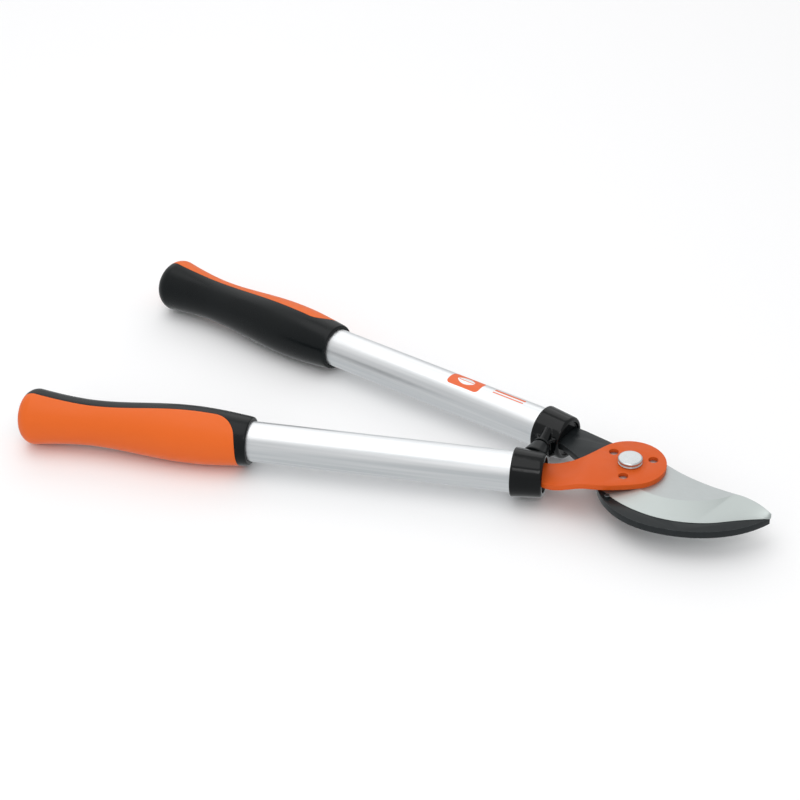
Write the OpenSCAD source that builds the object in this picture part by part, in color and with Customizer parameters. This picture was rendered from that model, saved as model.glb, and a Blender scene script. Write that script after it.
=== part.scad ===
// Two-hand bypass lopper, closed. Z runs up along the pivot, X towards the
// blade's tip between the handles, and the origin is at the pivot's lower end.

/* [Handles] */
// Angle between each handle and the centre line, with the jaws closed
handle_angle = 11.8; // [10:0.1:14]
// Distance from the pivot axis to each handle's axis
handle_offset = 9; // [8:0.5:10]
// Outside diameter of the aluminium tubes
tube_d = 22; // [20:0.5:24]
// Wall thickness of the tubes
tube_wall = 1.5; // [1:0.1:2]
// Distance along the handle where each tube starts
tube_start = 48; // [47:1:50]
// Distance along the handle where each tube ends, inside its grip
tube_end = 310; // [300:1:315]
// Diameter of the collars at the end towards the head
collar_d = 24; // [23.6:0.1:25]
// Diameter of the collars at the end towards the grip
collar_rim_d = 26.4; // [25:0.1:27]
// Distance along the handle where the collars start
collar_start = 43.2; // [42:0.1:44]
// Length of each collar
collar_len = 16.8; // [16:0.1:20]

/* [Grips] */
// Distance along the handle where the grips start
grip_start = 204; // [200:1:208]
// Distance along the handle to the flat end of the grips
grip_end = 337; // [330:1:340]
// Radius of the grip at its mouth
mouth_r = 13.3; // [12.8:0.1:14]
// Distance along the handle to the thickest part
belly_at = 239; // [230:1:245]
// Largest radius of the grip
belly_r = 15.85; // [15:0.05:17]
// Distance along the handle to the waist
waist_at = 296; // [290:1:300]
// Radius of the waist
waist_r = 12.7; // [12.5:0.1:13.5]
// Radius of the knob at the end
knob_r = 15.6; // [15:0.1:16.5]
// Rounding of the knob's end
knob_round = 8; // [5:0.5:10]
// Thickness of the coloured outer panel
panel_t = 1.2; // [0.8:0.1:1.3]
// Distance along the handle where the coloured panel starts
panel_start = 209.5; // [208:0.5:220]
// How far the top of the panel's edge leans back from its start
panel_sweep = 4; // [0:1:8]
// How far the round corner at the top of the edge reaches back
panel_corner = 10; // [4:1:14]

/* [Head] */
// Thickness of the hook
hook_t = 4; // [3.5:0.5:5]
// Thickness of the cutting blade
blade_t = 2.8; // [2.5:0.1:3.5]
// Thickness of the arm that carries the blade
arm_t = 3; // [2.5:0.5:3.5]
// Radius of the arm's round head
arm_head_r = 18.9; // [18:0.1:20]
// Radius of the hook and the blade round the pivot
boss_r = 17.5; // [16:0.5:18]
// Width of both tangs
tang_w = 17.4; // [16:0.2:18]
// Distance along the handle to the end of both tangs
tang_end = 85; // [75:1:95]
// Gap between the hook and the blade
shear_gap = 0.1; // [0.05:0.05:0.2]
// Radius of the circle that the drive pins lie on
drive_r = 12.3; // [12:0.1:13]
// Diameter of the drive pins
drive_d = 5.2; // [4.5:0.1:5.5]

/* [Pivot] */
// Diameter of the pivot bolt's shank
bolt_d = 8; // [7:0.5:9]
// Outside diameter of the bushing on the shank
bushing_d = 10; // [9.8:0.1:11]
// Radial clearance of the bushing on the shank
pivot_clearance = 0.05; // [0.02:0.01:0.1]
// Diameter of the bolt's round head
bolt_head_d = 12.8; // [12:0.1:14]
// Height of the bolt's head
bolt_head_h = 3.2; // [3:0.1:4]
// Width of the nut across its flats
nut_af = 13; // [12.5:0.5:14]
// Height of the nut
nut_h = 6.5; // [6:0.5:8]
// Outside diameter of the washer
washer_d = 16; // [15:0.5:18]
// Thickness of the washer
washer_t = 1.6; // [1:0.1:2]

/* [Hidden] */
$fn = 96;
eps = 0.01;

// Heights of the layers, from the nut's end face up
hook_z = nut_h + washer_t;
tube_z = hook_z + hook_t / 2;
blade_z = hook_z + hook_t + shear_gap;
arm_z = blade_z + blade_t;
head_gap = 0.1;
head_z = arm_z + arm_t + head_gap;

// Sizes inside the handles
tube_r = tube_d / 2;
tube_in_r = tube_r - tube_wall;
sleeve_len = 40;
pin_at = tube_start + 6;
tang_pin_d = 5;
slot_clear = 0.4;
collar_r = collar_d / 2;
collar_rim_r = collar_rim_d / 2;
collar_end = collar_start + collar_len;

// Bumpers between the collars
bumper_x = -50;
bumper_gap = 0.3;
bumper_h = 16;
stub_w = 5;
gusset_level = 4.5;
gusset_reach = 6.5;
pad_t = 1.5;
pad_w = 8.4;

// Drive pins, by angle round the pivot
drive_angles = [33, 153, 273];
drive_rise = 1;

// Small stop pin set in the hook, just outside the edge at the blade's heel
stop_pin_angle = 240.8;
stop_pin_gap = 0.3;
stop_pin_d = 2.6;
stop_pin_rise = 1.6;
stop_pin_depth = 3;

function arc(c, r, from, to, n) =
    [for (i = [0:n]) c + r * [cos(from + (to - from) * i / n), sin(from + (to - from) * i / n)]];
function bezier(p, n) =
    [for (i = [0:n]) let (t = i / n, u = 1 - t)
        u * u * u * p[0] + 3 * u * u * t * p[1] + 3 * u * t * t * p[2] + t * t * t * p[3]];
function rest_of(p) = [for (i = [1:len(p) - 1]) p[i]];
function ease(t) = (1 - cos(180 * max(0, min(1, t)))) / 2;

// A point of the plane, s along the front handle and y outwards from its axis
function front_xy(s, y) =
    [(handle_offset + y) * sin(handle_angle) - s * cos(handle_angle),
     -(handle_offset + y) * cos(handle_angle) - s * sin(handle_angle)];
function rear_xy(s, y) = [front_xy(s, y)[0], -front_xy(s, y)[1]];

// Grip radius along the handle
knob_flare = 1.7;
knob_at = grip_end - knob_round;
function grip_r(s) =
    s < belly_at ? mouth_r + (belly_r - mouth_r) * sin(90 * (s - grip_start) / (belly_at - grip_start)) :
    s < waist_at ? belly_r + (waist_r - belly_r) * ease((s - belly_at) / (waist_at - belly_at)) :
    waist_r + (knob_r - waist_r) * pow((s - waist_at) / (knob_at - waist_at), knob_flare);
// Where the panel starts at an angle up round the grip from its outermost line
function panel_edge(a) =
    panel_start + panel_sweep * (1 - cos(a)) + panel_corner * (1 - sqrt(1 - pow(max(0, a / 45 - 1), 2)));
// How far outwards the panel's border lies from the grip's middle plane
function split_y(s) = 1.8 * ease(1 - abs(s - waist_at + 6) / 60) - 0.3;
function grip_outline(inset) = concat(
    [for (i = [0:30]) let (s = grip_start + (knob_at - grip_start) * i / 30) [s, grip_r(s) - inset]],
    arc([knob_at, knob_r - knob_round], knob_round - inset, 90, 0, 8));

// Outlines of the head, seen from above
blade_tip = [78, -10.3];
edge_c = [25.8, 26.5];
edge_r = 57.8;
edge_end = edge_c + edge_r * [cos(300), sin(300)];
edge_points = concat(
    arc(edge_c, edge_r, 235, 300, 40),
    rest_of(bezier([edge_end, [61.5, -19.1], [69.5, -14.2], blade_tip - [0.3, 0.4]], 14)));
back_points = concat(
    bezier([[13, 11.7], [24, 4.5], [40, -0.2], [58, -1]], 34),
    rest_of(bezier([[58, -1], [66, -1.4], [73.5, -5.6], blade_tip + [0.2, 0.4]], 20)));
grind_c = [23.5, 24.2];
grind_r = 41.9;
stop_pin_r = edge_r + stop_pin_d / 2 + stop_pin_gap;
stop_pin_at = edge_c + stop_pin_r * [cos(stop_pin_angle), sin(stop_pin_angle)];
hook_tip = [77.6, -9.3];
hook_outer = concat(
    bezier([[-14.5, -10], [-12.5, -20], [-4, -32.5], [12, -37.2]], 18),
    rest_of(bezier([[12, -37.2], [27, -41.7], [62, -37.6], hook_tip], 28)));
hook_inner = concat(
    bezier([[76.2, -6.8], [66, -17], [46, -27], [29, -25.6]], 20),
    rest_of(bezier([[29, -25.6], [21, -24.8], [17.5, -19], [15.4, -8.3]], 10)));

// Place a handle part: x along the handle, y outwards, z up from the tube's axis
module on_front() {
    translate([handle_offset * sin(handle_angle), -handle_offset * cos(handle_angle), tube_z])
        rotate([0, 0, 180 + handle_angle]) children();
}
module on_rear() {
    mirror([0, 1, 0]) on_front() children();
}
module along(from, to, r) {
    translate([from, 0, 0]) rotate([0, 90, 0]) cylinder(h = to - from, r = r);
}

// ---- handles ----
module tube() {
    difference() {
        along(tube_start, tube_end, tube_r);
        along(tube_start - 1, tube_end + 1, tube_in_r);
        translate([pin_at, 0, 0]) cylinder(h = tube_d + 2, d = tang_pin_d, center = true);
    }
}
module tang_slot(t) {
    translate([collar_start - 1, -(tang_w + slot_clear) / 2, -(t + slot_clear) / 2])
        cube([tang_end + 1 - collar_start + slot_clear, tang_w + slot_clear, t + slot_clear]);
}
module tang_sleeve(t) {
    difference() {
        along(tube_start, tube_start + sleeve_len, tube_in_r);
        tang_slot(t);
        translate([pin_at, 0, 0]) cylinder(h = tube_d + 2, d = tang_pin_d, center = true);
    }
}
module tang_pin() {
    translate([pin_at, 0, 0]) cylinder(h = tube_d - 0.6, d = tang_pin_d, center = true);
}
module collar(t) {
    edge = 1.6;
    mouth_depth = 1.5;
    difference() {
        rotate([90, 0, 90]) rotate_extrude()
            polygon(concat([[0, collar_start]],
                arc([collar_r - edge, collar_start + edge], edge, 270, 360, 6),
                arc([collar_rim_r - 0.6, collar_end - 0.6], 0.6, 0, 90, 4),
                [[0, collar_end]]));
        along(tube_start, collar_end + 1, tube_r);
        along(collar_start - 1, collar_start + mouth_depth, tube_in_r);
        tang_slot(t);
    }
}
module grip_shape(inset) {
    outline = concat([[grip_start, 0]], grip_outline(inset), [[grip_end - inset, 0]]);
    rotate([90, 0, 90]) rotate_extrude() polygon([for (p = outline) [p[1], p[0]]]);
}
// The space that the coloured panel fills: the outer side, swept back at its upper corner
module panel_space() {
    tall = 40;
    top = 15;
    stop = grip_end + 1;
    intersection() {
        linear_extrude(tall, center = true) polygon(concat(
            [for (i = [0:24]) let (s = panel_start + (stop - panel_start) * i / 24) [s, split_y(s)]],
            [[stop, tall], [panel_start, tall]]));
        rotate([90, 0, 0]) linear_extrude(2 * tall, center = true) polygon(concat(
            [[stop, -tall / 2], [panel_start, -tall / 2]],
            [for (a = [0:7.5:90]) [panel_edge(a), top * sin(a)]],
            [[panel_edge(90), tall / 2], [stop, tall / 2]]));
    }
}
module grip_panel() {
    intersection() {
        difference() {
            grip_shape(0);
            grip_shape(panel_t);
        }
        panel_space();
    }
}
module grip_body() {
    difference() {
        union() {
            grip_shape(panel_t);
            difference() {
                grip_shape(0);
                panel_space();
            }
        }
        along(grip_start - 1, tube_end + 0.5, tube_r);
    }
}

module tube_front() { color("silver") on_front() tube(); }
module tube_rear() { color("silver") on_rear() tube(); }
module tang_sleeve_front() { color("dimgray") on_front() tang_sleeve(arm_t); }
module tang_sleeve_rear() { color("dimgray") on_rear() tang_sleeve(hook_t); }
module tang_pin_front() { color("gray") on_front() tang_pin(); }
module tang_pin_rear() { color("gray") on_rear() tang_pin(); }
module grip_body_front() { color("#202124") on_front() grip_body(); }
module grip_body_rear() { color("#202124") on_rear() grip_body(); }
module grip_panel_front() { color("#e0682a") on_front() grip_panel(); }
module grip_panel_rear() { color("#e0682a") on_rear() grip_panel(); }

// Upright block with round ends, reaching along Y between two values
module upright(w, h, from, to) {
    translate([bumper_x, 0, tube_z]) rotate([-90, 0, 0]) translate([0, 0, from]) {
        for (side = [-1, 1])
            translate([0, side * (h - w) / 2, 0]) cylinder(h = to - from, d = w);
        translate([-w / 2, -(h - w) / 2, 0]) cube([w, h - w, to - from]);
    }
}
module collar_cone(inset) {
    translate([collar_start, 0, 0]) rotate([0, 90, 0])
        cylinder(h = collar_len, r1 = collar_r - inset, r2 = collar_rim_r - inset);
}
module collar_front() {
    color("#141517") on_front() collar(arm_t);
}
module collar_rear() {
    color("#141517") {
        on_rear() collar(hook_t);
        difference() {
            union() {
                hull() {
                    upright(stub_w, bumper_h - 1, pad_t + bumper_gap / 2, 3);
                    upright(stub_w + 1.5, bumper_h + 4, 13, 16);
                }
                for (level = [-gusset_level, gusset_level])
                    translate([bumper_x, 0, tube_z + level]) linear_extrude(1.4, center = true)
                        polygon([[-gusset_reach, 9], [-stub_w / 2, 3], [stub_w / 2, 3],
                            [gusset_reach, 9], [gusset_reach, 14], [-gusset_reach, 14]]);
            }
            on_rear() collar_cone(1);
        }
    }
}
module bumper_pad_rear() {
    color("#1c1d1f") upright(pad_w, bumper_h + 2, bumper_gap / 2, pad_t + bumper_gap / 2);
}
module bumper_cone_front() {
    color("#1c1d1f") difference() {
        hull() {
            upright(9.4, bumper_h + 1, -1 - bumper_gap / 2, -bumper_gap / 2, $fn = 32);
            upright(14.4, bumper_h + 4, -10, -9, $fn = 32);
        }
        on_front() collar_cone(0);
    }
}

// ---- head ----
module pivot_hole(d) {
    translate([0, 0, -1]) cylinder(h = head_z + 10, d = d);
}
module rear_tang_hole() {
    on_rear() translate([pin_at, 0, 0]) cylinder(h = 30, d = tang_pin_d, center = true);
}
module stop_pin_solid(h) {
    translate([stop_pin_at[0], stop_pin_at[1], hook_z + hook_t - stop_pin_depth])
        cylinder(h = h, d = stop_pin_d);
}
module hook_blade() {
    half = tang_w / 2;
    color("#3a3e40") difference() {
        translate([0, 0, hook_z]) linear_extrude(hook_t) union() {
            circle(r = boss_r);
            polygon(concat(hook_outer, hook_inner, [[0, 0]]));
            polygon(concat(
                [rear_xy(tang_end, -half + 2), rear_xy(tang_end - 4, -half)],
                bezier([rear_xy(42, -half), rear_xy(36, -half - 1.6), rear_xy(26, -half - 5.6),
                    [-14.5, -10]], 8),
                [[0, 0]],
                arc([0, 0], boss_r, 84, 104, 3),
                [rear_xy(22, half - 1.2), rear_xy(38, half), rear_xy(tang_end - 4, half),
                 rear_xy(tang_end, half - 2)]));
        }
        pivot_hole(bolt_d + 0.02);
        rear_tang_hole();
        stop_pin_solid(stop_pin_depth + 1);
    }
}
module hook_stop_pin() {
    color("#202224") stop_pin_solid(stop_pin_depth + stop_pin_rise);
}
module drive_pins(h, z) {
    for (a = drive_angles)
        translate([drive_r * cos(a), drive_r * sin(a), z]) cylinder(h = h, d = drive_d);
}
module arm_outline() {
    half = tang_w / 2;
    union() {
        circle(r = arm_head_r);
        polygon(concat(
            [front_xy(tang_end, half - 2), front_xy(tang_end - 4, half)],
            bezier([front_xy(43, half), [-25, -29.6], [-9, -27.8],
                arm_head_r * [cos(300), sin(300)]], 18),
            [[0, 0]],
            arc([0, 0], arm_head_r, 115, 137, 3),
            bezier([arm_head_r * [cos(137), sin(137)], [-19, 7.5], front_xy(20, -half - 2),
                front_xy(30, -half)], 16),
            [front_xy(tang_end - 4, -half), front_xy(tang_end, -half + 2)]));
    }
}
module arm_side() {
    joggle_from = 18.5;
    joggle_to = 43;
    rise = arm_z + arm_t / 2 - tube_z;
    mids = [for (i = [0:16]) let (s = joggle_from + (joggle_to - joggle_from) * i / 16)
        [s, rise * (1 - ease((s - joggle_from) / (joggle_to - joggle_from)))]];
    line = concat([[-30, rise]], mids, [[tang_end + 1, 0]]);
    polygon(concat([for (p = line) p + [0, arm_t / 2]],
        [for (i = [len(line) - 1:-1:0]) line[i] - [0, arm_t / 2]]));
}
module blade_arm() {
    color("#d8602f") difference() {
        intersection() {
            linear_extrude(arm_z + arm_t + 1) arm_outline();
            on_front() rotate([90, 0, 0]) linear_extrude(80, center = true) arm_side();
        }
        pivot_hole(bushing_d);
        drive_pins(10, arm_z - 1);
        on_front() translate([pin_at, 0, 0]) cylinder(h = 30, d = tang_pin_d, center = true);
    }
}
// The blade's working part: flat behind the grinding line, sloping to the edge
module ground_blade() {
    edge_land = 0.15;
    back_land = 0.05;
    m = 5;
    last = len(edge_points) - 1;
    rings = [for (i = [0:last]) let (
        e = edge_points[i],
        b = back_points[i],
        ground = grind_c + grind_r * (e - grind_c) / norm(e - grind_c),
        near_back = b + back_land * (e - b),
        g = norm(e - ground) < norm(e - near_back) ? ground : near_back)
        [[e[0], e[1], 0], [e[0], e[1], edge_land], [g[0], g[1], blade_t],
         [b[0], b[1], blade_t], [b[0], b[1], 0]]];
    translate([0, 0, blade_z]) polyhedron([for (r = rings) each r], concat(
        [for (i = [0:last - 1]) for (j = [0:m - 1]) let (k = (j + 1) % m)
            [i * m + j, i * m + k, (i + 1) * m + k, (i + 1) * m + j]],
        [[for (j = [m - 1:-1:0]) j], [for (j = [0:m - 1]) last * m + j]]), convexity = 6);
}
module cutting_blade() {
    color("#c4caca") difference() {
        union() {
            ground_blade();
            translate([0, 0, blade_z]) cylinder(h = blade_t, r = boss_r);
        }
        pivot_hole(bushing_d);
        drive_pins(10, blade_z - 1);
    }
}
module blade_drive_pins() {
    color("#d0d3d4") drive_pins(blade_t + drive_rise, blade_z);
}

// ---- pivot ----
module pivot_bolt() {
    r = bolt_head_d / 2;
    groove = 0.5;
    color("#c9ccce") {
        cylinder(h = head_z + eps, d = bolt_d);
        translate([0, 0, head_z]) rotate_extrude() polygon([
            [0, 0], [r, 0], [r, 0.7], [r - groove, 0.9], [r - groove, 1.2],
            [r, 1.5], [r, bolt_head_h - 0.5], [r - 0.6, bolt_head_h], [0, bolt_head_h]]);
    }
}
module pivot_bushing() {
    color("#b08d57") translate([0, 0, blade_z]) difference() {
        cylinder(h = blade_t + arm_t, d = bushing_d);
        translate([0, 0, -1]) cylinder(h = blade_t + arm_t + 2, d = bolt_d + 2 * pivot_clearance);
    }
}
module pivot_washer() {
    color("#b9bcbe") translate([0, 0, nut_h]) difference() {
        cylinder(h = washer_t, d = washer_d);
        translate([0, 0, -1]) cylinder(h = washer_t + 2, d = bolt_d + 0.4);
    }
}
module pivot_nut() {
    across_corners = nut_af / cos(30);
    color("#b9bcbe") difference() {
        intersection() {
            cylinder(h = nut_h, d = across_corners, $fn = 6);
            rotate_extrude() polygon([[0, 0], [nut_af / 2 - 0.2, 0], [across_corners / 2, 0.8],
                [across_corners / 2, nut_h - 0.8], [nut_af / 2 - 0.2, nut_h], [0, nut_h]]);
        }
        pivot_hole(bolt_d + 0.02);
    }
}

hook_blade();
hook_stop_pin();
pivot_bolt();
pivot_washer();
pivot_nut();
pivot_bushing();
blade_arm();
cutting_blade();
blade_drive_pins();
tube_rear();
tang_sleeve_rear();
tang_pin_rear();
collar_rear();
bumper_pad_rear();
grip_body_rear();
grip_panel_rear();
tube_front();
tang_sleeve_front();
tang_pin_front();
collar_front();
bumper_cone_front();
grip_body_front();
grip_panel_front();
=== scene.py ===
from math import acos, cos, pi, radians, sin, sqrt

import bmesh
import bpy
from mathutils import Matrix, Vector


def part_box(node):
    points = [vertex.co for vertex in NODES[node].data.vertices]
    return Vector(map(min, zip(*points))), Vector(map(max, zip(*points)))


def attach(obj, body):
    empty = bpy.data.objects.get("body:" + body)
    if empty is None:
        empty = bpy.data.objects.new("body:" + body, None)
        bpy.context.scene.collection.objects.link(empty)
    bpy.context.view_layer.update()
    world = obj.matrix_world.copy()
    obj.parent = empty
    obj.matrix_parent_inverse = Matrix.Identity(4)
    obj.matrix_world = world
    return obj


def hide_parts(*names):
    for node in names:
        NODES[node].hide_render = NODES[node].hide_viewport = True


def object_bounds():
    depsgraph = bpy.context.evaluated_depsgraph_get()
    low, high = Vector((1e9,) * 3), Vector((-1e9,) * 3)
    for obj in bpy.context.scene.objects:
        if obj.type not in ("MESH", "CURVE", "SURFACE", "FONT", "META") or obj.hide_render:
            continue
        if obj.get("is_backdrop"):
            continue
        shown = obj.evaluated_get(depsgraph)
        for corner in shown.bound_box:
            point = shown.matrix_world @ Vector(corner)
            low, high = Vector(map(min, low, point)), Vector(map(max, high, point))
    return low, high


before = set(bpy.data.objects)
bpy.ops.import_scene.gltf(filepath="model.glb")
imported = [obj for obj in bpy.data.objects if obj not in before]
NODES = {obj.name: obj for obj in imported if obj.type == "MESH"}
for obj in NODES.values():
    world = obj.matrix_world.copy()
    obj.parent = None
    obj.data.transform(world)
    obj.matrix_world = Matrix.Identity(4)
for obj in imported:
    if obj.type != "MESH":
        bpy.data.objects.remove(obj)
CAD_BOX = [list(map(float, corner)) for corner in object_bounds()]
SCENE = bpy.context.scene
MM = 0.001

# ---------------------------------------------------------------- sizes
# All in millimetres. Handle sizes are measured along a handle from the pivot, and
# from its axis. Head sizes are x and y in the shared frame, from the pivot.

# Each handle's axis: its slant, and how far beside the pivot it passes
HANDLE_ANGLE = radians(11.8)
HANDLE_OFFSET = 9.0

# Tubes, with TUBE_LIP taken off each edge
TUBE_START, TUBE_END = 48.0, 310.0
TUBE_R, TUBE_WALL, TUBE_LIP = 11.0, 1.5, 0.25
TUBE_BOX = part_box("tube_front")
TUBE_Z = (TUBE_BOX[0].z + TUBE_BOX[1].z) / 2 / MM

# Grips: narrow at the mouth, full at the belly, slim at the waist, with a knob at the
# end. KNOB_FLARE is the power of the curve from the waist out to the knob.
GRIP_START, GRIP_END = 204.0, 337.0
MOUTH_R, MOUTH_LIP = 13.3, 0.9
BELLY_AT, BELLY_R = 239.0, 15.85
WAIST_AT, WAIST_R = 296.0, 12.7
KNOB_R, KNOB_ROUND, KNOB_FLARE = 15.6, 8.0, 1.7
KNOB_AT = GRIP_END - KNOB_ROUND
BORE_R, BORE_END, BORE_CHAMFER = TUBE_R + 0.02, TUBE_END + 0.5, 0.4

# Coloured panels let into the grips. Their recess is PANEL_GAP larger all round, and
# the solid that cuts it reaches from CUT_DEPTH under the skin to CUT_LIFT over it.
PANEL_START, PANEL_SWEEP, PANEL_DEPTH = 209.5, 4.0, 1.15
PANEL_ROUND, PANEL_GAP = 0.3, 0.16
CUT_LIFT, CUT_DEPTH = 1.0, PANEL_DEPTH + 0.05
# Its near corners: the share of the panel's half width that each takes, and its length
UPPER_CORNER, LOWER_CORNER = (0.5, 10.0), (0.22, 3.0)
# Its long borders wave outwards by SPLIT_WAVE round SPLIT_AT, over SPLIT_REACH either
# way. Where the grip is slimmer than SPLIT_MIN_R, at its end, they keep their angle.
SPLIT_AT, SPLIT_REACH, SPLIT_WAVE, SPLIT_BASE = WAIST_AT - 6, 60.0, 1.8, -0.3
SPLIT_MIN_R = 9.0

# Cutting blade
BLADE_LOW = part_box("cutting_blade")[0].z / MM
BLADE_THICK, EDGE_LAND = 2.8, 0.12
TIP_EDGE, TIP_BACK = (77.7, -10.7), (78.2, -9.9)
EDGE_CENTRE, EDGE_RADIUS, EDGE_FROM, EDGE_TO = (25.8, 26.5), 57.8, 235, 300
EDGE_TO_TIP = ((61.5, -19.1), (69.5, -14.2))
BACK_CURVE = ((13, 11.7), (24, 4.5), (40, -0.2), (58, -1))
BACK_TO_TIP = ((66, -1.4), (73.5, -5.6))
# Steps along the two curves of each; edge and back have the same number in all
EDGE_STEPS, BACK_STEPS = (80, 28), (68, 40)
# The bevel ends on an arc, and leaves some flat where the arc passes the back
GRIND_CENTRE, GRIND_RADIUS, WIDEST_BEVEL = (23.5, 24.2), 41.9, 0.96
BOSS_R, PIVOT_BORE_R = 17.5, 5.0
DRIVE_PIN_REACH, DRIVE_PIN_R, DRIVE_PIN_ANGLES = 12.3, 2.6, (33, 153, 273)

# The badge and its two bars on the rear tube: their middles, along the handle and
# round the tube from its top, then half their lengths and widths
BADGE_AT, BADGE_HALF, BADGE_CORNER = (111.5, -0.8), (10.5, 5.6), 2.4
# The leaf is where two circles overlap, one on each side of the badge's middle
LEAF_R, LEAF_SHIFT = 7.2, 4.2
VEIN_AT, VEIN_HALF, VEIN_CORNER = (BADGE_AT[0] - 1.5, BADGE_AT[1]), (6.5, 0.32), 0.2
BARS_AT, BAR_RISE, BAR_CORNER = (83.5, -1.6), 1.4, 0.4
WIDE_BAR, SLIM_BAR = (10.0, 0.9), (10.0, 0.45)


# ---------------------------------------------------------------- materials
class Nodes:
    """A material's node tree, with short calls to add and join nodes."""

    def __init__(self, name, **inputs):
        self.material = bpy.data.materials.new(name)
        self.material.use_nodes = True
        self.tree = self.material.node_tree
        self.shader = self.tree.nodes["Principled BSDF"]
        for key, value in inputs.items():
            socket = self.shader.inputs[key.replace("_", " ")]
            socket.default_value = (*value, 1) if isinstance(value, tuple) else value

    def add(self, kind, inputs=(), **settings):
        node = self.tree.nodes.new("ShaderNode" + kind)
        for key, value in settings.items():
            setattr(node, key, value)
        for key, value in dict(inputs).items():
            if isinstance(value, bpy.types.NodeSocket):
                self.tree.links.new(value, node.inputs[key])
            else:
                node.inputs[key].default_value = value
        return node

    def math(self, operation, a, b=0.0, clamp=False):
        node = self.add("Math", {0: a, 1: b}, operation=operation, use_clamp=clamp)
        return node.outputs[0]

    def ramp(self, value, low, high, to_low=0.0, to_high=1.0):
        """value rescaled from low..high to to_low..to_high, clamped."""
        node = self.add("MapRange", {0: value, 1: low, 2: high, 3: to_low, 4: to_high})
        return node.outputs[0]

    def place(self, scale=(1, 1, 1), source="Object"):
        """Coordinates on the piece, in metres, stretched by scale."""
        coords = self.add("TexCoord").outputs[source]
        return self.add("Mapping", {"Vector": coords, "Scale": scale}).outputs[0]

    def noise(self, vector, scale, detail=3.0, roughness=0.5):
        node = self.add("TexNoise", {
            "Vector": vector, "Scale": scale, "Detail": detail, "Roughness": roughness})
        return node.outputs[0]

    def mix(self, factor, a, b):
        """Colour a to colour b by factor; each is a socket or a colour."""
        node = self.add("Mix", {0: factor}, data_type="RGBA")
        for index, colour in ((6, a), (7, b)):
            if isinstance(colour, bpy.types.NodeSocket):
                self.tree.links.new(colour, node.inputs[index])
            else:
                node.inputs[index].default_value = (*colour, 1)
        return node.outputs[2]

    def bump(self, height, distance, strength=1.0, normal=None):
        inputs = {"Height": height, "Distance": distance, "Strength": strength}
        if normal is not None:
            inputs["Normal"] = normal
        return self.add("Bump", inputs).outputs[0]

    def use(self, **sockets):
        for key, socket in sockets.items():
            self.tree.links.new(socket, self.shader.inputs[key.replace("_", " ")])
        return self.material


def varied(colour, amount):
    """A darker and a lighter shade of colour."""
    return tuple(c * (1 - amount) for c in colour), tuple(min(1, c * (1 + amount)) for c in colour)


def orange_paint():
    """Powder coat: satin, with a fine orange-peel surface."""
    m = Nodes("orange_paint", Specular_IOR_Level=0.2)
    where = m.place()
    peel = m.noise(where, 900, 2)
    speck = m.noise(where, 5200, 1)
    cloud = m.noise(where, 60, 3)
    colour = m.mix(cloud, *varied((0.65, 0.098, 0.011), 0.05))
    rough = m.ramp(m.noise(where, 180, 4), 0.3, 0.7, 0.36, 0.48)
    fine = m.bump(speck, 0.00001, 0.25)
    return m.use(Base_Color=colour, Roughness=rough, Normal=m.bump(peel, 0.00004, 0.5, fine))


def orange_plastic():
    """Moulded plastic: satin, with a fine spark-eroded grain."""
    m = Nodes("orange_plastic", Specular_IOR_Level=0.25)
    where = m.place()
    grain = m.noise(where, 3600, 2, 0.6)
    flow = m.noise(where, 22, 3)
    colour = m.mix(flow, *varied((0.77, 0.133, 0.014), 0.04))
    rough = m.ramp(m.noise(where, 240, 4), 0.3, 0.7, 0.36, 0.48)
    return m.use(Base_Color=colour, Roughness=rough, Normal=m.bump(grain, 0.00002, 0.35))


def black_rubber():
    """Soft grip: satin rubber with a fine matt grain and faint handling marks."""
    m = Nodes("black_rubber", Specular_IOR_Level=0.2)
    where = m.place()
    grain = m.noise(where, 2600, 3, 0.65)
    smear = m.noise(where, 45, 4)
    colour = m.mix(smear, (0.0030, 0.0045, 0.0052), (0.0060, 0.0078, 0.0085))
    rough = m.ramp(smear, 0.3, 0.7, 0.22, 0.36)
    return m.use(Base_Color=colour, Roughness=rough, Normal=m.bump(grain, 0.00002, 0.3))


def black_plastic():
    """Glossy moulded nylon, with slight waves and fine scuffs."""
    m = Nodes("black_plastic", Specular_IOR_Level=0.24)
    where = m.place()
    wave = m.noise(where, 130, 2)
    scuff = m.noise(m.place((1, 1, 6)), 420, 5, 0.7)
    colour = m.mix(wave, (0.0015, 0.0022, 0.0026), (0.0035, 0.0045, 0.0050))
    rough = m.ramp(scuff, 0.45, 0.75, 0.10, 0.22)
    return m.use(Base_Color=colour, Roughness=rough, Normal=m.bump(wave, 0.00012, 0.3))


def length_of(m, x, y):
    """The length of the vector (x, y), as a socket."""
    squares = m.math("ADD", m.math("MULTIPLY", x, x), m.math("MULTIPLY", y, y))
    return m.math("SQRT", squares)


def around(m, centre):
    """Distance from an upright axis at centre in metres, the angle round it, and the height."""
    parts = m.add("SeparateXYZ", {0: m.add("TexCoord").outputs["Object"]})
    x = m.math("SUBTRACT", parts.outputs[0], centre[0] * MM)
    y = m.math("SUBTRACT", parts.outputs[1], centre[1] * MM)
    return length_of(m, x, y), m.math("ARCTAN2", y, x), parts.outputs[2]


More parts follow.
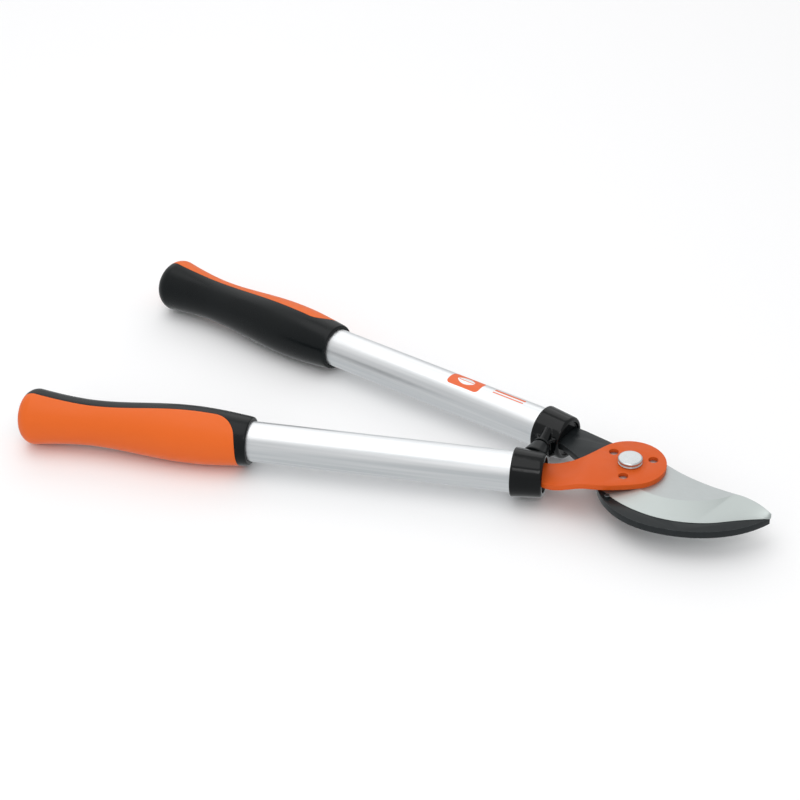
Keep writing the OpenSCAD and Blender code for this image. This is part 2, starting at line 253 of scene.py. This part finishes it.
def blade_steel():
    """Ground steel: fine lines across the bevel and along the flat."""
    m = Nodes("blade_steel", Metallic=1.0, Roughness=0.34)
    distance, angle, _ = around(m, GRIND_CENTRE)
    across = m.add("CombineXYZ", {
        0: m.math("MULTIPLY", angle, 6.0),
        1: m.math("MULTIPLY", distance, 4.0),
    })
    lines = m.noise(across.outputs[0], 260, 4, 0.7)
    flat = m.noise(m.place((0.35, 6, 1)), 520, 4, 0.7)
    blur = 0.1 * MM
    bevel = m.ramp(distance, GRIND_RADIUS * MM - blur, GRIND_RADIUS * MM + blur)
    grain = m.mix(bevel, flat, lines)
    cloud = m.noise(m.place(), 38, 3)
    dull = m.mix(cloud, (0.47, 0.50, 0.50), (0.53, 0.56, 0.56))
    bright = m.mix(cloud, (0.50, 0.545, 0.535), (0.56, 0.605, 0.59))
    colour = m.mix(m.math("MULTIPLY", grain, 0.22), m.mix(bevel, dull, bright), (0.42, 0.44, 0.44))
    rough = m.ramp(grain, 0.25, 0.75, 0.44, 0.58)
    return m.use(Base_Color=colour, Roughness=rough, Normal=m.bump(grain, 0.000012, 0.45))


def hook_steel():
    """Forged steel with a dark satin coating, slightly mottled, with a painted highlight on its
    upward-facing rounded edges.
    """
    m = Nodes("hook_steel", Metallic=0.15, Specular_IOR_Level=0.32)
    where = m.place()
    mottle = m.noise(where, 240, 5, 0.6)
    scratch = m.noise(m.place((1, 9, 1)), 300, 5, 0.75)
    colour = m.mix(mottle, (0.009, 0.012, 0.013), (0.019, 0.023, 0.025))
    colour = m.mix(m.ramp(scratch, 0.66, 0.74, 0, 0.5), colour, (0.10, 0.115, 0.12))
    # the plate is flat and upright-sided, so a slanting normal means a rounded edge; those that
    # face upwards get a painted highlight
    facing = m.add("SeparateXYZ", {0: m.add("NewGeometry").outputs["Normal"]}).outputs[2]
    edge = m.math("MULTIPLY", m.ramp(facing, 0.2, 0.5), m.ramp(facing, 0.80, 0.97, 1.0, 0.0))
    # painted highlight: upward-facing rounded edges are coloured a lighter steel, where a lamp's
    # glint would fall, patchy with the mottle
    painted_edge_highlight = m.math("MULTIPLY", edge, m.ramp(mottle, 0.38, 0.55, 0.25, 0.9))
    colour = m.mix(painted_edge_highlight, colour, (0.17, 0.19, 0.195))
    rough = m.ramp(mottle, 0.3, 0.7, 0.30, 0.46)
    return m.use(Base_Color=colour, Roughness=rough, Normal=m.bump(mottle, 0.00004, 0.5))


def zinc_steel():
    """Plated turned steel: fine rings round the pivot."""
    m = Nodes("zinc_steel", Metallic=1.0, Roughness=0.3)
    distance, _, height = around(m, (0, 0))
    turned = m.add("CombineXYZ", {0: distance, 1: height}).outputs[0]
    rings = m.noise(turned, 5200, 3)
    cloud = m.noise(m.place(), 320, 3)
    colour = m.mix(cloud, (0.50, 0.53, 0.54), (0.62, 0.645, 0.655))
    rough = m.ramp(rings, 0.3, 0.7, 0.24, 0.40)
    return m.use(Base_Color=colour, Roughness=rough, Normal=m.bump(rings, 0.00001, 0.4))


def bronze():
    """Sintered bronze: brown, with open pores."""
    m = Nodes("bronze", Metallic=1.0, Roughness=0.45)
    pores = m.noise(m.place(), 2400, 4, 0.7)
    colour = m.mix(pores, (0.34, 0.20, 0.085), (0.56, 0.37, 0.17))
    return m.use(Base_Color=colour, Normal=m.bump(pores, 0.00003, 0.5))


def disc(m, u, v, centre, radius):
    """How far (u, v) lies outside a circle, in metres."""
    du = m.math("SUBTRACT", u, centre[0] * MM)
    dv = m.math("SUBTRACT", v, centre[1] * MM)
    return m.math("SUBTRACT", length_of(m, du, dv), radius * MM)


def round_box(m, u, v, centre, half, corner):
    """How far (u, v) lies outside a rectangle with round corners, in metres."""
    sides = []
    for value, middle, size in ((u, centre[0], half[0]), (v, centre[1], half[1])):
        away = m.math("ABSOLUTE", m.math("SUBTRACT", value, middle * MM))
        sides.append(m.math("MAXIMUM", m.math("SUBTRACT", away, (size - corner) * MM), 0.0))
    return m.math("SUBTRACT", length_of(m, *sides), corner * MM)


def badge_ink(m):
    """1 where the tube is printed: a badge with a leaf left open in it, and two bars."""
    parts = m.add("SeparateXYZ", {0: m.add("TexCoord").outputs["UV"]})
    u, v = parts.outputs[0], parts.outputs[1]
    blur = 0.06 * MM

    def inside(distance):
        return m.ramp(distance, -blur, blur, 1.0, 0.0)

    badge = inside(round_box(m, u, v, BADGE_AT, BADGE_HALF, BADGE_CORNER))
    above = disc(m, u, v, (BADGE_AT[0], BADGE_AT[1] + LEAF_SHIFT), LEAF_R)
    below = disc(m, u, v, (BADGE_AT[0], BADGE_AT[1] - LEAF_SHIFT), LEAF_R)
    leaf = inside(m.math("MAXIMUM", above, below))
    vein = inside(round_box(m, u, v, VEIN_AT, VEIN_HALF, VEIN_CORNER))
    leaf = m.math("SUBTRACT", leaf, m.math("MULTIPLY", leaf, vein))
    ink = m.math("SUBTRACT", badge, leaf, True)
    for rise, half in ((-BAR_RISE, WIDE_BAR), (BAR_RISE, SLIM_BAR)):
        bar = round_box(m, u, v, (BARS_AT[0], BARS_AT[1] + rise), half, BAR_CORNER)
        ink = m.math("MAXIMUM", ink, inside(bar))
    return ink


def tube_aluminium(name, marked):
    """Satin anodised tube with fine drawn lines; one tube carries a printed leaf badge."""
    m = Nodes(name, Metallic=1.0, Roughness=0.3)
    drawn = m.noise(m.place((6, 900, 1), "UV"), 4, 4, 0.6)
    bands = m.noise(m.place((2, 120, 1), "UV"), 3, 2)
    speck = m.noise(m.place(), 2600, 2)
    colour = m.mix(m.ramp(bands, 0.36, 0.64), (0.74, 0.76, 0.775), (0.87, 0.88, 0.89))
    rough = m.ramp(m.math("ADD", drawn, bands), 0.7, 1.3, 0.30, 0.50)
    normal = m.bump(drawn, 0.00001, 0.5, m.bump(speck, 0.000006, 0.3))
    if not marked:
        return m.use(Base_Color=colour, Roughness=rough, Normal=normal)
    ink = badge_ink(m)
    colour = m.mix(ink, colour, (0.78, 0.13, 0.03))
    rough = m.math("ADD", rough, m.math("MULTIPLY", ink, 0.12))
    metal = m.math("SUBTRACT", 1.0, m.math("MULTIPLY", ink, 0.95))
    return m.use(Base_Color=colour, Roughness=rough, Metallic=metal, Normal=normal)


def floor_paper():
    """Plain white paper with a faint fibre."""
    m = Nodes("floor_paper", Roughness=0.85)
    where = m.place()
    fibre = m.noise(where, 700, 4)
    colour = m.mix(fibre, (0.93, 0.93, 0.935), (0.96, 0.96, 0.965))
    return m.use(Base_Color=colour, Normal=m.bump(fibre, 0.00002, 0.15))


# ---------------------------------------------------------------- geometry
def handle_point(side, s, y, z):
    """A point s along a handle, y outwards and z above its axis, in metres."""
    reach = HANDLE_OFFSET + y
    x = reach * sin(HANDLE_ANGLE) - s * cos(HANDLE_ANGLE)
    across = -reach * cos(HANDLE_ANGLE) - s * sin(HANDLE_ANGLE)
    return Vector((x, across if side == "front" else -across, z + TUBE_Z)) * MM


def loose_object(name, mesh):
    """An object in the scene that isn't a piece of the model yet."""
    obj = bpy.data.objects.new(name, mesh)
    SCENE.collection.objects.link(obj)
    return obj


def add_piece(name, mesh, body, material, nodes):
    """A visible piece that rides on body and stands in for the CAD nodes."""
    piece = loose_object(name, mesh)
    mesh.materials.clear()
    mesh.materials.append(material)
    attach(piece, body)
    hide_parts(*nodes)


def shade(mesh, sharp=180):
    """Smooth faces, with edges that turn by more than sharp degrees kept crisp."""
    mesh.polygons.foreach_set("use_smooth", [True] * len(mesh.polygons))
    if sharp < 180:
        mesh.set_sharp_from_angle(angle=radians(sharp))
    return mesh


def finish_mesh(bm, name, sharp):
    """A clean mesh from bm: no doubled points, no slivers, faces outwards."""
    bmesh.ops.remove_doubles(bm, verts=bm.verts, dist=1e-7)
    bmesh.ops.dissolve_degenerate(bm, edges=bm.edges, dist=1e-7)
    bmesh.ops.recalc_face_normals(bm, faces=bm.faces)
    mesh = bpy.data.meshes.new(name)
    bm.to_mesh(mesh)
    bm.free()
    return shade(mesh, sharp)


def apply_modifiers(obj):
    """The object's mesh with its modifiers applied; the object is removed."""
    bpy.context.view_layer.update()
    evaluated = obj.evaluated_get(bpy.context.evaluated_depsgraph_get())
    mesh = bpy.data.meshes.new_from_object(evaluated)
    bpy.data.objects.remove(obj)
    return mesh


def plain_cad_mesh(node):
    """A copy of a CAD node's mesh, with its flat faces joined up."""
    bm = bmesh.new()
    bm.from_mesh(NODES[node].data)
    bmesh.ops.remove_doubles(bm, verts=bm.verts, dist=1e-6)
    bmesh.ops.dissolve_limit(bm, angle_limit=radians(0.4), verts=bm.verts, edges=bm.edges)
    mesh = bpy.data.meshes.new(node)
    bm.to_mesh(mesh)
    bm.free()
    return mesh


def round_edges(obj, radius, angle):
    """Rounds the object's edges that turn by more than angle degrees."""
    bevel = obj.modifiers.new("bevel", "BEVEL")
    bevel.width = radius * MM
    bevel.segments = 3
    bevel.limit_method = "ANGLE"
    bevel.angle_limit = radians(angle)
    return bevel


def rounded_cad(node, radius):
    """A CAD node's mesh with its edges rounded."""
    obj = loose_object(node + "_work", plain_cad_mesh(node))
    round_edges(obj, radius, 32).miter_outer = "MITER_ARC"
    return shade(apply_modifiers(obj), 40)


def moulded_cad(node, voxel, rounds):
    """A CAD node's mesh with soft moulded edges and fillets."""
    obj = loose_object(node + "_work", plain_cad_mesh(node))
    remesh = obj.modifiers.new("remesh", "REMESH")
    remesh.mode = "VOXEL"
    remesh.voxel_size = voxel * MM
    smooth = obj.modifiers.new("smooth", "SMOOTH")
    smooth.iterations = rounds
    smooth.factor = 0.5
    return shade(apply_modifiers(obj))


def grip_radius(s):
    """The grip's radius at s along the handle, short of the knob's rounded end."""
    if s < BELLY_AT:
        t = (s - GRIP_START) / (BELLY_AT - GRIP_START)
        return MOUTH_R + (BELLY_R - MOUTH_R) * sin(pi / 2 * t)
    if s < WAIST_AT:
        t = (s - BELLY_AT) / (WAIST_AT - BELLY_AT)
        return BELLY_R + (WAIST_R - BELLY_R) * (1 - cos(pi * t)) / 2
    t = (s - WAIST_AT) / (KNOB_AT - WAIST_AT)
    return WAIST_R + (KNOB_R - WAIST_R) * t ** KNOB_FLARE


def split_y(s):
    """How far outwards the panel's border lies from the grip's middle plane."""
    t = max(0.0, 1 - abs(s - SPLIT_AT) / SPLIT_REACH)
    return SPLIT_WAVE * (1 - cos(pi * t)) / 2 + SPLIT_BASE


def grip_profile(start, inset, steps):
    """(s, radius) from start along the grip, round the knob and in to the axis.

    The profile lies inset below the grip's skin.
    """
    dome, flat = 14, 6
    points = []
    for i in range(steps + 1):
        s = start + (KNOB_AT - start) * i / steps
        points.append((s, grip_radius(s) - inset))
    for i in range(1, dome + 1):
        a = pi / 2 * (1 - i / dome)
        points.append((KNOB_AT + (KNOB_ROUND - inset) * cos(a),
                       KNOB_R - KNOB_ROUND + (KNOB_ROUND - inset) * sin(a)))
    for i in range(1, flat + 1):
        points.append((GRIP_END - inset, (KNOB_R - KNOB_ROUND) * (1 - i / flat)))
    return points


def on_handle(bm, side, s, r, angle):
    """A new vertex at s along a handle, r from its axis, angle up from outwards."""
    return bm.verts.new(handle_point(side, s, r * cos(angle), r * sin(angle)))


def revolve(bm, side, profile, count):
    """A surface of revolution about a handle's axis, from (s, radius) points."""
    rings = []
    for s, r in profile:
        rings.append([on_handle(bm, side, s, r, 2 * pi * k / count) for k in range(count)])
    join_rings(bm, rings)
    return rings


def join_rings(bm, rings):
    """Faces between each closed ring of vertices and the next."""
    for a, b in zip(rings, rings[1:]):
        for k in range(len(a)):
            n = (k + 1) % len(a)
            bm.faces.new((a[k], a[n], b[n], b[k]))


def join_rows(bm, rows):
    """Faces between each open row of vertices and the next."""
    for a, b in zip(rows, rows[1:]):
        for k in range(len(a) - 1):
            bm.faces.new((a[k], a[k + 1], b[k + 1], b[k]))


def panel_edge(u):
    """Where the panel starts, from its lower border (u = -1) to its upper one (u = 1)."""
    width, reach = UPPER_CORNER if u > 0 else LOWER_CORNER
    corner = max(0.0, abs(u) - (1 - width)) / width
    swept = PANEL_SWEEP * (1 - cos(u * pi / 2)) if u > 0 else 0.0
    return PANEL_START + swept + reach * (1 - sqrt(max(0.0, 1 - corner * corner)))


def panel_solid(side, lift, depth, grow):
    """The coloured panel as a closed shell: outer skin, inner skin and a border between."""
    across, along = 56, 110
    bm = bmesh.new()
    skins = []
    for inset in (-lift, depth):
        rows = []
        for i in range(across + 1):
            u = -cos(pi * i / across)
            row = []
            for s, r in grip_profile(panel_edge(u) - grow, inset, along):
                border = acos((split_y(s) - grow) / max(r, SPLIT_MIN_R))
                row.append(on_handle(bm, side, s, r, u * border))
            rows.append(row)
        join_rows(bm, rows)
        skins.append(rows)
    outer, inner = skins
    for end in (0, -1):
        join_rows(bm, (outer[end], inner[end]))
    for end in (0, -1):
        join_rows(bm, ([row[end] for row in outer], [row[end] for row in inner]))
    return bm


def grip_panel(side):
    """The coloured panel with its rim rounded."""
    mesh = finish_mesh(panel_solid(side, 0.0, PANEL_DEPTH, 0.0), "panel", 45)
    obj = loose_object("panel_work", mesh)
    round_edges(obj, PANEL_ROUND, 50)
    return shade(apply_modifiers(obj), 60)


def combine(obj, tools):
    """The object's mesh after exact booleans with (operation, tool) pairs; all are removed."""
    for operation, tool in tools:
        cut = obj.modifiers.new("cut", "BOOLEAN")
        cut.operation = operation
        cut.solver = "EXACT"
        cut.object = tool
    mesh = apply_modifiers(obj)
    for _, tool in tools:
        bpy.data.objects.remove(tool)
    return mesh


def grip_body(side):
    """The black grip: a lathed body with a rounded lip and a bore, less the panel's recess."""
    inside = [
        (BORE_END, 0.0),
        (BORE_END, BORE_R),
        (GRIP_START + BORE_CHAMFER, BORE_R),
        (GRIP_START, BORE_R + BORE_CHAMFER),
    ]
    rim_steps = 6
    rim = []
    for i in range(rim_steps + 1):
        a = pi / 2 * i / rim_steps
        rim.append((GRIP_START + MOUTH_LIP * (1 - cos(a)), MOUTH_R - MOUTH_LIP * (1 - sin(a))))
    outside = grip_profile(GRIP_START + MOUTH_LIP, 0.0, 130)[1:]
    bm = bmesh.new()
    revolve(bm, side, inside + rim + outside, 128)
    body = loose_object("grip_work", finish_mesh(bm, "grip", 50))
    recess = finish_mesh(panel_solid(side, CUT_LIFT, CUT_DEPTH, PANEL_GAP), "cutter", 50)
    return shade(combine(body, [("DIFFERENCE", loose_object("cutter_work", recess))]), 38)


def arc(centre, radius, start, stop, count):
    """Points on an arc, from start to stop degrees."""
    for i in range(count + 1):
        a = radians(start + (stop - start) * i / count)
        yield (centre[0] + radius * cos(a), centre[1] + radius * sin(a))


def bezier(points, count):
    """Points on a cubic curve, after its first one."""
    for i in range(1, count + 1):
        t = i / count
        u = 1 - t
        weights = (u * u * u, 3 * u * u * t, 3 * u * t * t, t * t * t)
        yield tuple(sum(w * p[axis] for w, p in zip(weights, points)) for axis in (0, 1))


def blade_edge():
    """The cutting edge from the heel to the tip: an arc, then a curve up to the tip."""
    points = list(arc(EDGE_CENTRE, EDGE_RADIUS, EDGE_FROM, EDGE_TO, EDGE_STEPS[0]))
    points += bezier((points[-1], *EDGE_TO_TIP, TIP_EDGE), EDGE_STEPS[1])
    return points


def blade_back():
    """The blade's back from beside the pivot to the tip, with as many points as the edge."""
    points = [BACK_CURVE[0]]
    points += bezier(BACK_CURVE, BACK_STEPS[0])
    points += bezier((BACK_CURVE[-1], *BACK_TO_TIP, TIP_BACK), BACK_STEPS[1])
    return points


def bevel_top(edge, back):
    """Where the slice from edge to back crosses the grinding line, short of the back."""
    reach, line = edge - Vector(GRIND_CENTRE), back - edge
    half = reach.dot(line) / line.length_squared
    under = half * half - (reach.length_squared - GRIND_RADIUS ** 2) / line.length_squared
    share = -half - sqrt(under) if under > 0 else 1.0
    return edge + min(WIDEST_BEVEL, share) * line


def blade_section(edge, back):
    """(point, height) round one slice: up the land, the bevel and the flat, down the back."""
    bevel_steps, flat_steps = 8, 6
    top = bevel_top(edge, back)
    section = [(edge, 0.0), (edge, EDGE_LAND)]
    for i in range(1, bevel_steps + 1):
        t = i / bevel_steps
        section.append((edge + (top - edge) * t, EDGE_LAND + (BLADE_THICK - EDGE_LAND) * t))
    for i in range(1, flat_steps + 1):
        section.append((top + (back - top) * i / flat_steps, BLADE_THICK))
    section.append((back, 0.0))
    return section


def round_tool(x, y, radius, bottom, top):
    """A short upright cylinder, to join to the blade or cut from it."""
    bm = bmesh.new()
    place = Matrix.Translation(Vector((x, y, (bottom + top) / 2)) * MM)
    bmesh.ops.create_cone(bm, cap_ends=True, segments=128, radius1=radius * MM,
                          radius2=radius * MM, depth=(top - bottom) * MM, matrix=place)
    return loose_object("tool_work", finish_mesh(bm, "tool", 30))


def blade_mesh():
    """The cutting blade: slices from edge to back, a round boss, and its bored holes."""
    bm = bmesh.new()
    rings = []
    for e, b in zip(blade_edge(), blade_back()):
        section = blade_section(Vector(e), Vector(b))
        rings.append([
            bm.verts.new(Vector((point.x, point.y, BLADE_LOW + height)) * MM)
            for point, height in section])
    join_rings(bm, rings)
    bm.faces.new(rings[0])
    bm.faces.new(list(reversed(rings[-1])))
    blade = loose_object("blade_work", finish_mesh(bm, "blade", 5))
    # the tools for the holes reach past both faces
    bottom, top = BLADE_LOW - 1, BLADE_LOW + 6
    tools = [
        ("UNION", round_tool(0, 0, BOSS_R, BLADE_LOW, BLADE_LOW + BLADE_THICK)),
        ("DIFFERENCE", round_tool(0, 0, PIVOT_BORE_R, bottom, top)),
    ]
    for angle in DRIVE_PIN_ANGLES:
        a = radians(angle)
        x, y = DRIVE_PIN_REACH * cos(a), DRIVE_PIN_REACH * sin(a)
        tools.append(("DIFFERENCE", round_tool(x, y, DRIVE_PIN_R, bottom, top)))
    return shade(combine(blade, tools), 5)


def tube_profile():
    """(s, radius) round the tube's wall, with its outer edges broken."""
    steps = 24
    inner, near, far = TUBE_R - TUBE_WALL, TUBE_START + TUBE_LIP, TUBE_END - TUBE_LIP
    profile = [(TUBE_START, inner + TUBE_LIP), (TUBE_START, TUBE_R - TUBE_LIP)]
    profile += [(near + (far - near) * i / steps, TUBE_R) for i in range(steps + 1)]
    profile += [(TUBE_END, TUBE_R - TUBE_LIP), (TUBE_END, inner + TUBE_LIP)]
    profile += [(far, inner), (near, inner)]
    return profile + profile[:1]


def tube_mesh(side):
    """The tube, with a UV map in metres: along the tube, and round it from its top."""
    count = 160
    profile = tube_profile()
    bm = bmesh.new()
    uv = bm.loops.layers.uv.new("along_round")
    place = {}
    for (s, _), ring in zip(profile, revolve(bm, side, profile, count)):
        for k, vert in enumerate(ring):
            place[vert] = (s, k)
    for face in bm.faces:
        steps = [place[loop.vert][1] for loop in face.loops]
        wraps = max(steps) - min(steps) > count / 2
        for loop in face.loops:
            s, k = place[loop.vert]
            if wraps and k < count / 2:
                k += count
            # revolve starts outwards, a quarter turn before the top
            turn = 2 * pi * k / count - pi / 2
            loop[uv].uv = (s * MM, turn * TUBE_R * MM)
    bmesh.ops.remove_doubles(bm, verts=bm.verts, dist=1e-7)
    bmesh.ops.recalc_face_normals(bm, faces=bm.faces)
    mesh = bpy.data.meshes.new("tube")
    bm.to_mesh(mesh)
    bm.free()
    return shade(mesh, 50)


# ---------------------------------------------------------------- pieces
def build_handles(materials):
    """Grip, panel, tube, collar and bumper on each side."""
    rubber, nylon = materials["black_rubber"], materials["black_plastic"]
    for side, body in (("front", "blade_side"), ("rear", "hook_side")):
        add_piece(f"grip_rubber_{side}", grip_body(side), body,
                  rubber, [f"grip_body_{side}"])
        add_piece(f"grip_colour_{side}", grip_panel(side), body,
                  materials["orange_plastic"], [f"grip_panel_{side}"])
        add_piece(f"handle_tube_{side}", tube_mesh(side), body,
                  materials["tube_" + side], [f"tube_{side}"])
        collar = moulded_cad(f"collar_{side}", voxel=0.26, rounds=10)
        add_piece(f"tube_collar_{side}", collar, body,
                  nylon, [f"collar_{side}"])
    cone = moulded_cad("bumper_cone_front", voxel=0.28, rounds=8)
    add_piece("bumper_rubber_front", cone, "blade_side",
              rubber, ["bumper_cone_front"])
    pad = moulded_cad("bumper_pad_rear", voxel=0.22, rounds=4)
    add_piece("bumper_rubber_rear", pad, "hook_side",
              rubber, ["bumper_pad_rear"])


def build_head(materials):
    """The plates and the pivot's hardware, with their edges rounded, and the ground blade."""
    # piece, CAD node, body, material and edge radius
    plates = (
        ("hook_forging", "hook_blade", "hook_side", "hook_steel", 0.45),
        ("stop_pin", "hook_stop_pin", "hook_side", "hook_steel", 0.3),
        ("arm_plate", "blade_arm", "blade_side", "orange_paint", 0.4),
        ("drive_pins", "blade_drive_pins", "blade_side", "blade_steel", 0.35),
        ("bolt_turned", "pivot_bolt", "hook_side", "zinc_steel", 0.15),
        ("nut_hex", "pivot_nut", "hook_side", "zinc_steel", 0.2),
        ("washer_flat", "pivot_washer", "hook_side", "zinc_steel", 0.2),
    )
    for name, node, body, slot, radius in plates:
        add_piece(name, rounded_cad(node, radius), body, materials[slot], [node])
    add_piece("ground_blade", blade_mesh(), "blade_side",
              materials["blade_steel"], ["cutting_blade"])


def dress_hidden(materials):
    """Inner pieces keep their CAD shape and get their real material."""
    hidden = {
        "pivot_bushing": "bronze",
        "tang_sleeve_front": "black_plastic",
        "tang_sleeve_rear": "black_plastic",
        "tang_pin_front": "zinc_steel",
        "tang_pin_rear": "zinc_steel",
    }
    for node, name in hidden.items():
        mesh = NODES[node].data
        mesh.materials.clear()
        mesh.materials.append(materials[name])


# ---------------------------------------------------------------- studio
def build_floor(height, material):
    """A floor wide enough that no view sees its edge; glossy parts don't mirror it."""
    width = 60.0
    bpy.ops.mesh.primitive_plane_add(size=width, location=(-0.12, 0, height))
    floor = bpy.context.object
    floor.name = "floor"
    floor.data.materials.append(material)
    floor.visible_glossy = False
    floor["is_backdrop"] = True


def soft_light(name, place, aim, size, power):
    """A rectangular lamp at place that faces aim, in metres and watts."""
    data = bpy.data.lights.new(name, "AREA")
    data.shape = "RECTANGLE"
    data.size, data.size_y = size
    data.energy = power
    light = bpy.data.objects.new(name, data)
    light.location = place
    light.rotation_euler = (Vector(aim) - Vector(place)).to_track_quat("-Z", "Y").to_euler()
    SCENE.collection.objects.link(light)
    return light


def build_light():
    """A pale room, darkest a little above the horizon, and four soft lamps."""
    world = bpy.data.worlds.new("studio")
    world.use_nodes = True
    tree = world.node_tree
    background = tree.nodes["Background"]
    coords = tree.nodes.new("ShaderNodeTexCoord")
    parts = tree.nodes.new("ShaderNodeSeparateXYZ")
    ramp = tree.nodes.new("ShaderNodeValToRGB")
    stops = ramp.color_ramp.elements
    stops[0].position, stops[0].color = 0.0, (0.80, 0.82, 0.83, 1)
    stops[1].position, stops[1].color = 0.7, (0.95, 0.95, 0.95, 1)
    middle = stops.new(0.12)
    middle.color = (0.76, 0.77, 0.78, 1)
    tree.links.new(coords.outputs["Generated"], parts.inputs[0])
    tree.links.new(parts.outputs[2], ramp.inputs[0])
    tree.links.new(ramp.outputs[0], background.inputs[0])
    strength = 0.78
    background.inputs[1].default_value = strength
    SCENE.world = world
    soft_light("overhead", (-0.35, -0.1, 1.1), (-0.15, 0, 0), (1.2, 0.8), 3.6)
    soft_light("back", (-0.85, 1.35, 1.05), (-0.1, 0, 0), (2.4, 1.2), 6.0)
    soft_light("front", (0.35, -0.75, 0.95), (-0.05, 0, 0), (0.5, 0.3), 1.6)
    fill = soft_light("fill", (0.2, -1.3, 0.5), (-0.1, 0, 0), (1.4, 0.6), 1.5)
    fill.visible_glossy = False


def build_camera():
    """Looks down from the front right of the tool, turned a little clockwise."""
    azimuth, elevation, roll = radians(27.1), radians(34.53), radians(2.59)
    aim = Vector((-140.2, 15.0, TUBE_Z)) * MM
    distance, rise = 1.0172, 0.0005
    back = Vector((sin(azimuth) * cos(elevation), -cos(azimuth) * cos(elevation), sin(elevation)))
    right = Vector((cos(azimuth), sin(azimuth), 0))
    up = back.cross(right)
    turned_right = right * cos(roll) - up * sin(roll)
    turned_up = up * cos(roll) + right * sin(roll)
    data = bpy.data.cameras.new("camera")
    data.lens = 82.23
    data.sensor_width = 36
    data.dof.use_dof = False
    camera = bpy.data.objects.new("camera", data)
    place = aim + back * distance + turned_up * rise
    rows = Matrix((turned_right, turned_up, back)).transposed().to_4x4()
    camera.matrix_world = Matrix.Translation(place) @ rows
    SCENE.collection.objects.link(camera)
    SCENE.camera = camera


def main():
    """Builds the whole visual model and its studio."""
    SCENE.view_settings.view_transform = "Standard"
    materials = {
        "orange_paint": orange_paint(),
        "orange_plastic": orange_plastic(),
        "black_rubber": black_rubber(),
        "black_plastic": black_plastic(),
        "blade_steel": blade_steel(),
        "hook_steel": hook_steel(),
        "zinc_steel": zinc_steel(),
        "bronze": bronze(),
        "tube_front": tube_aluminium("tube_plain", False),
        "tube_rear": tube_aluminium("tube_marked", True),
    }
    build_handles(materials)
    build_head(materials)
    dress_hidden(materials)
    build_floor(min(CAD_BOX[0][2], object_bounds()[0][2]), floor_paper())
    build_light()
    build_camera()


main()
